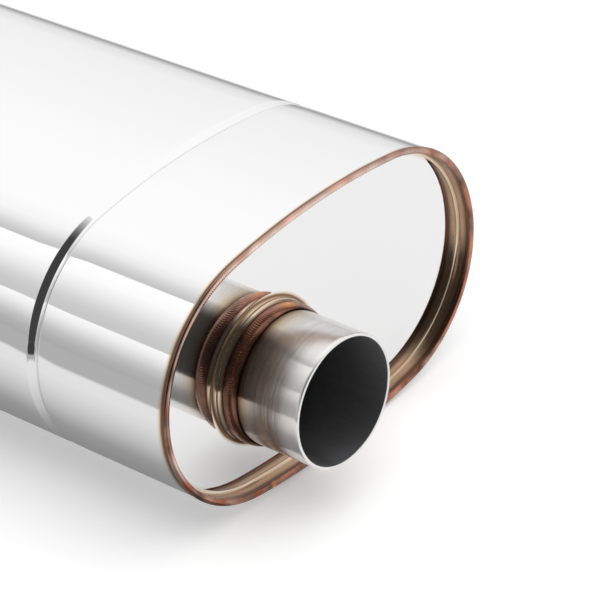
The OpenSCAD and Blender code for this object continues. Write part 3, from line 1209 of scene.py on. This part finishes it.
@dataclass(frozen=True)
class Sight:
    """Line of sight of the photograph, by its turn round Z from -Y and its height over the table."""

    azimuth: float = math.radians(43.97)
    elevation: float = math.radians(32.56)

    @property
    def away(self) -> Vector:
        """Direction over the table from the body to the camera."""
        return Vector((math.sin(self.azimuth), -math.cos(self.azimuth), 0.0))

    @property
    def right(self) -> Vector:
        """Direction to the right of the view, level with the table."""
        return Vector((math.cos(self.azimuth), math.sin(self.azimuth), 0.0))

    @property
    def back(self) -> Vector:
        """Direction from the body to the lens."""
        return self.away * math.cos(self.elevation) + Vector((0.0, 0.0, math.sin(self.elevation)))


SIGHT = Sight()


def show_in_gloss(name: str, mesh: bmesh.types.BMesh, material: bpy.types.Material) -> None:
    """Sets up a studio card that only shows in what shines.

    Args:
        name: Name of the card.
        mesh: Its mesh, which is used up.
        material: Its light.
    """
    data = bpy.data.meshes.new(name)
    mesh.to_mesh(data)
    mesh.free()
    data.materials.append(material)
    card = bpy.data.objects.new(name, data)
    bpy.context.scene.collection.objects.link(card)
    card.visible_camera = card.visible_diffuse = card.visible_shadow = False


def glow(name: str, distance: Callable[[Nodes], object], levels: Levels) -> bpy.types.Material:
    """Makes a card's light.

    Args:
        name: Name of the material.
        distance: Writes the nodes that give the place across the card.
        levels: Place and brightness of each stop, from the first to the last.

    Returns:
        The material.
    """
    recipe = Recipe(name, "ShaderNodeEmission")
    start, stop = levels[0][0], levels[-1][0]
    share = recipe.add("ShaderNodeMapRange", i0=distance(recipe), i1=start, i2=stop)
    made = recipe.add("ShaderNodeValToRGB", i0=share)
    while len(made.color_ramp.elements) < len(levels):
        made.color_ramp.elements.new(1.0)
    brightest = max(level for _, level in levels)
    for element, (place, level) in zip(made.color_ramp.elements, levels):
        element.position = (place - start) / (stop - start)
        element.color = (level / brightest,) * 3 + (1.0,)
    recipe.join(recipe.shader, Color=made, Strength=brightest)
    return recipe.material


@dataclass(frozen=True)
class Softbox:
    """Long softbox along the body, its light fading across it, by angle round X from +Z towards -Y."""

    name: str
    levels: Levels
    distance: float = 2.2
    near_x: float = 3.0
    far_x: float = -6.0
    steps: int = 48

    def build(self) -> None:
        """Builds the softbox."""
        mesh = bmesh.new()
        start, stop = (math.radians(self.levels[n][0]) for n in (0, -1))
        y, z = -self.distance * math.sin(start), self.distance * math.cos(start)
        line = [mesh.verts.new((x, y, OVAL.axis_z + z)) for x in (self.far_x, self.near_x)]
        edge = mesh.edges.new(line)
        bmesh.ops.spin(mesh, geom=[*line, edge], cent=(0, 0, OVAL.axis_z), axis=(1, 0, 0),
                       angle=stop - start, steps=self.steps)
        show_in_gloss(self.name, mesh, glow(f"{self.name} light", self.angle, self.levels))

    @staticmethod
    def angle(nodes: Nodes) -> bpy.types.NodeSocket:
        """Angle round X from +Z towards -Y, in degrees, as nodes."""
        where = nodes.add("ShaderNodeTexCoord").outputs["Object"]
        split = nodes.add("ShaderNodeSeparateXYZ", Vector=where).outputs
        side = nodes.add("ShaderNodeMath", {"operation": "MULTIPLY"}, i0=split[1], i1=-1.0)
        high = nodes.add("ShaderNodeMath", {"operation": "SUBTRACT"}, i0=split[2], i1=OVAL.axis_z)
        turn = nodes.add("ShaderNodeMath", {"operation": "ARCTAN2"}, i0=side, i1=high)
        return nodes.add("ShaderNodeMath", {"operation": "DEGREES"}, i0=turn).outputs[0]


@dataclass(frozen=True)
class Apron:
    """Card that lies a millimetre over the table along the body, its light set by the place along Y."""

    name: str
    levels: Levels
    near_x: float
    far_x: float = -6.0
    lift: float = 1 * MM

    def build(self) -> None:
        """Builds the card."""
        first, last = self.levels[0][0], self.levels[-1][0]
        mesh = bmesh.new()
        place = Matrix.Translation(((self.near_x + self.far_x) / 2, (first + last) / 2, self.lift))
        size = Matrix.Diagonal(((self.near_x - self.far_x) / 2, abs(last - first) / 2, 1.0, 1.0))
        bmesh.ops.create_grid(mesh, x_segments=1, y_segments=1, size=1.0, matrix=place @ size)
        show_in_gloss(self.name, mesh, glow(f"{self.name} light", self.across, self.levels))

    @staticmethod
    def across(nodes: Nodes) -> bpy.types.NodeSocket:
        """Place along Y, as nodes."""
        where = nodes.add("ShaderNodeTexCoord").outputs["Object"]
        return nodes.add("ShaderNodeSeparateXYZ", Vector=where).outputs[1]


@dataclass(frozen=True)
class Flag:
    """Black cloth round the lens, and its dark foot on the table, as a camera stands in a white tent."""

    radius: float = 1.3
    arm_steps: int = 14
    round_steps: int = 48
    levels: Levels = ((0.0, 0.055), (35.0, 0.06), (40.0, 0.17), (46.0, 0.45), (54.0, 0.95))
    foot_levels: Levels = ((0.0, 0.05), (0.56, 0.06), (0.6, 0.5))
    foot_reach: float = 1.05
    foot_steps: int = 64
    lift: float = 2 * MM

    @property
    def foot(self) -> Vector:
        """Middle of the dark foot."""
        return SIGHT.away * self.foot_reach + Vector((0.0, 0.0, self.lift))

    def build(self) -> None:
        """Builds the cloth, a part of a ball cut off at the table, and its foot."""
        cloth = bmesh.new()
        side = SIGHT.back.cross(Vector((0, 0, 1))).normalized()
        turns = [math.radians(self.levels[-1][0] * n / self.arm_steps) for n in range(self.arm_steps + 1)]
        arms = [Matrix.Rotation(turn, 3, side) @ SIGHT.back for turn in turns]
        verts = [cloth.verts.new(arm * self.radius) for arm in arms]
        edges = [cloth.edges.new(pair) for pair in zip(verts, verts[1:])]
        bmesh.ops.spin(cloth, geom=verts + edges, cent=(0, 0, 0), axis=SIGHT.back, angle=math.tau,
                       steps=self.round_steps)
        bmesh.ops.remove_doubles(cloth, verts=cloth.verts, dist=1e-5)
        bmesh.ops.bisect_plane(cloth, geom=[*cloth.verts, *cloth.edges, *cloth.faces],
                               plane_co=(0, 0, self.lift), plane_no=(0, 0, -1), clear_outer=True)
        show_in_gloss("lens flag", cloth, glow("black cloth", self.from_lens, self.levels))
        foot = bmesh.new()
        bmesh.ops.create_circle(foot, cap_ends=True, segments=self.foot_steps,
                                radius=self.foot_levels[-1][0], matrix=Matrix.Translation(self.foot))
        show_in_gloss("flag foot", foot, glow("black cloth, foot", self.from_foot, self.foot_levels))

    def from_lens(self, nodes: Nodes) -> bpy.types.NodeSocket:
        """Angle from the lens, in degrees, as nodes."""
        where = nodes.add("ShaderNodeTexCoord").outputs["Object"]
        arm = nodes.add("ShaderNodeVectorMath", {"operation": "NORMALIZE"}, i0=where)
        share = nodes.add("ShaderNodeVectorMath", {"operation": "DOT_PRODUCT"}, i0=arm, i1=SIGHT.back)
        turn = nodes.add("ShaderNodeMath", {"operation": "ARCCOSINE"}, i0=share.outputs["Value"])
        return nodes.add("ShaderNodeMath", {"operation": "DEGREES"}, i0=turn).outputs[0]

    def from_foot(self, nodes: Nodes) -> bpy.types.NodeSocket:
        """Distance from the foot's middle, as nodes."""
        where = nodes.add("ShaderNodeTexCoord").outputs["Object"]
        gap = nodes.add("ShaderNodeVectorMath", {"operation": "DISTANCE"}, i0=where, i1=self.foot)
        return gap.outputs["Value"]


@dataclass
class Studio:
    """White table, cards, light and the camera."""

    roll: float = math.radians(-6.3)
    lens: float = 186.03
    sensor: float = 36.0
    distance: float = 1377.4 * MM
    aside: float = -12.76 * MM
    above: float = 14.83 * MM
    aim_x: float = 210 * MM
    table_size: float = 30.0
    ambient: float = 0.4
    lamp_place: Vector = field(default_factory=lambda: Vector((0.85, -0.1, 2.2)))
    lamp_size: float = 2.4
    lamp_watts: float = 32.0
    paper_glow: float = 0.27
    cards: tuple[Softbox | Apron | Flag, ...] = (
        Softbox("back softbox", (
            (-104.0, 0.62), (-90.0, 0.90), (-70.0, 1.07), (-52.0, 1.16), (-40.0, 1.22), (-15.0, 1.23),
            (-2.0, 1.16), (4.3, 1.04), (10.5, 0.84), (17.3, 0.66),
        )),
        Softbox("top softbox", (
            (17.3, 1.27), (29.0, 1.23), (35.0, 1.12), (41.4, 1.0), (47.6, 0.85), (54.0, 0.75), (62.0, 0.70),
        )),
        Softbox("front softbox", (
            (62.0, 1.22), (68.0, 1.08), (72.3, 0.93), (78.5, 0.70), (84.6, 0.56), (91.0, 0.50), (109.0, 0.50),
        )),
        # The front apron is dark beyond 0.34 m, and nearer in it paints the body's shadow on the table,
        # falling from bright to dark towards the body; it shows only in the metal
        Apron("front apron", (
            (-2.2, 0.52), (-0.36, 0.53), (-0.32, 0.95), (-0.232, 0.94), (-0.187, 0.86), (-0.159, 0.75),
            (-0.139, 0.63), (-0.124, 0.49), (-0.112, 0.385), (-0.102, 0.34), (-0.086, 0.29), (-0.07, 0.26),
        ), 3.0),
        Apron("back apron", (
            (0.11, 0.12), (0.19, 0.2), (0.23, 0.6), (0.245, 0.95), (0.285, 0.87), (0.33, 0.70), (0.40, 0.48),
            (0.51, 0.375), (0.73, 0.645), (1.39, 0.755), (2.2, 0.86),
        ), 0.15),
        Flag(),
    )

    def build(self) -> None:
        """Builds the table, the light and the camera."""
        bpy.context.scene.view_settings.view_transform = "Standard"
        self.table()
        self.sky()
        self.lamp()
        for card in self.cards:
            card.build()
        self.camera()
        LOG.info("studio: table, world, lamp, %d cards and camera", len(self.cards))

    def table(self) -> None:
        """Builds the white table, which takes the body's shadow."""
        mesh = bmesh.new()
        bmesh.ops.create_grid(mesh, x_segments=1, y_segments=1, size=self.table_size)
        data = bpy.data.meshes.new("table")
        mesh.to_mesh(data)
        mesh.free()
        table = bpy.data.objects.new("table", data)
        bpy.context.scene.collection.objects.link(table)
        recipe = Recipe("matt white paper", "ShaderNodeAddShader")
        paper = recipe.add("ShaderNodeBsdfDiffuse", Color=linear("#fbfbfb"))
        level = recipe.add("ShaderNodeMath", {"operation": "MULTIPLY"}, i0=recipe.seen(), i1=self.paper_glow)
        bright = recipe.add("ShaderNodeEmission", Strength=level)
        recipe.join(recipe.shader, i0=paper, i1=bright)
        data.materials.append(recipe.material)

    def sky(self) -> None:
        """Sets the world: white where it is seen, and plain soft light elsewhere."""
        world = bpy.data.worlds.new("studio")
        bpy.context.scene.world = world
        world.use_nodes = True
        nodes = Nodes(world.node_tree)
        nodes.tree.nodes.clear()
        level = nodes.add("ShaderNodeMapRange", i0=nodes.seen(), i1=0.0, i2=1.0, i3=self.ambient, i4=1.0)
        back = nodes.add("ShaderNodeBackground", Color=linear("#ffffff"), Strength=level)
        nodes.add("ShaderNodeOutputWorld", Surface=back)

    def lamp(self) -> None:
        """Hangs the large overhead lamp a little beyond the outlet, so the shadow stays close to the body."""
        data = bpy.data.lights.new("overhead lamp", "AREA")
        data.shape = "SQUARE"
        data.size = self.lamp_size
        data.energy = self.lamp_watts
        lamp = bpy.data.objects.new("overhead lamp", data)
        lamp.location = self.lamp_place
        lamp.rotation_euler = (-self.lamp_place).to_track_quat("-Z", "Y").to_euler()
        lamp.visible_glossy = False
        bpy.context.scene.collection.objects.link(lamp)

    def camera(self) -> None:
        """Sets the camera on the photograph's line of sight."""
        back, right = SIGHT.back, SIGHT.right
        up = back.cross(right)
        local_x = right * math.cos(self.roll) + up * math.sin(self.roll)
        local_y = up * math.cos(self.roll) - right * math.sin(self.roll)
        aim = Vector((self.aim_x, 0.0, OVAL.axis_z))
        eye = aim + back * self.distance + right * self.aside + up * self.above
        data = bpy.data.cameras.new("camera")
        data.lens = self.lens
        data.sensor_width = self.sensor
        camera = bpy.data.objects.new("camera", data)
        turned = Matrix((local_x, local_y, back)).transposed().to_4x4()
        camera.matrix_world = Matrix.Translation(eye) @ turned
        bpy.context.scene.collection.objects.link(camera)
        bpy.context.scene.camera = camera


def main() -> None:
    """Builds the silencer and its studio."""
    logging.basicConfig(level=logging.INFO, format="%(name)s: %(message)s")
    Studio().build()
    Casing().build()
    cap = PolishedSheet("stainless sheet, mirror-polished, end cap", (WALL_BAND, COLLAR_BAND)).build()
    rim = WeldMetal("stainless edge weld, as welded").build()
    joint = WeldMetal("stainless tube weld, as welded", dark="#4c312c", copper="#8e6050", crest_highlight="#d8a288",
                      roughness=0.2).build()
    tube = SatinTube().build()
    bore = MillSteel("stainless tube bore, drawn and dark", dark="#808082", light="#909092",
                     roughness=0.6).build()
    for end in End:
        EndCap(end).build(cap)
        RimWeld(end).build(rim)
        StubPipe(end).build(tube, bore)
        PipeWeld(end).build(joint)
    Internals().build()
    Packing().build()


if __name__ == "__main__":
    main()
